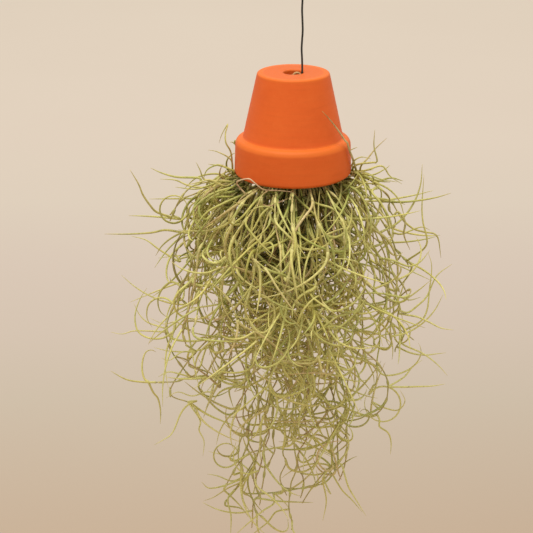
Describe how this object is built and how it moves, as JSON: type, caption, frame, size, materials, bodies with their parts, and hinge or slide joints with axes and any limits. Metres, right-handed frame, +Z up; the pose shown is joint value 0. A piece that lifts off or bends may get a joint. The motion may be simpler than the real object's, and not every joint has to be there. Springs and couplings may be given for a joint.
{
  "type": "hanging spanish moss bunch in an upturned terracotta pot",
  "caption": "Air plant: a bunch of spanish moss hanging out of an upturned small terracotta pot, carried by a thin coated wire through the drain hole with an eye to hang it by.",
  "frame": {"origin": "bearing point of the wire's hanging eye: the inside of the top of the loop, where a hook carries the bunch", "axes": "+Z up along the wire, -Z down the hanging moss; -Y is the side that faces the viewer, +X is the viewer's right"},
  "size_m": [0.2187, 0.2025, 0.3918],
  "materials": {
    "terracotta": "matte unglazed fired clay",
    "wire_coating": "dark green-black coated steel wire",
    "peg_wood": "bare whittled twig",
    "twine": "natural jute",
    "moss_green": "living stems and leaves with a fine grey scaly bloom"
  },
  "bodies": {
    "root": {"terracotta_pot": "terracotta", "hanging_wire": "wire_coating", "cross_peg": "peg_wood", "sling_twine_front": "twine", "sling_twine_back": "twine", "neck_twine": "twine", "moss_strand_01": "moss_green", "moss_strand_02": "moss_green", "moss_strand_03": "moss_green", "moss_strand_04": "moss_green", "moss_strand_05": "moss_green", "moss_strand_06": "moss_green", "moss_strand_07": "moss_green", "moss_strand_08": "moss_green", "moss_strand_09": "moss_green", "moss_strand_10": "moss_green", "moss_strand_11": "moss_green", "moss_strand_12": "moss_green", "moss_strand_13": "moss_green", "moss_strand_14": "moss_green", "moss_strand_15": "moss_green", "moss_strand_16": "moss_green", "moss_strand_17": "moss_green", "moss_strand_18": "moss_green", "moss_strand_19": "moss_green", "moss_strand_20": "moss_green", "moss_strand_21": "moss_green", "moss_strand_22": "moss_green", "moss_strand_23": "moss_green", "moss_strand_24": "moss_green", "moss_strand_25": "moss_green", "moss_strand_26": "moss_green", "moss_strand_27": "moss_green", "moss_strand_28": "moss_green", "moss_strand_29": "moss_green", "moss_strand_30": "moss_green", "moss_strand_31": "moss_green", "moss_strand_32": "moss_green", "moss_strand_33": "moss_green", "moss_strand_34": "moss_green", "moss_strand_35": "moss_green", "moss_strand_36": "moss_green", "moss_strand_37": "moss_green"}
  },
  "joints": []
}
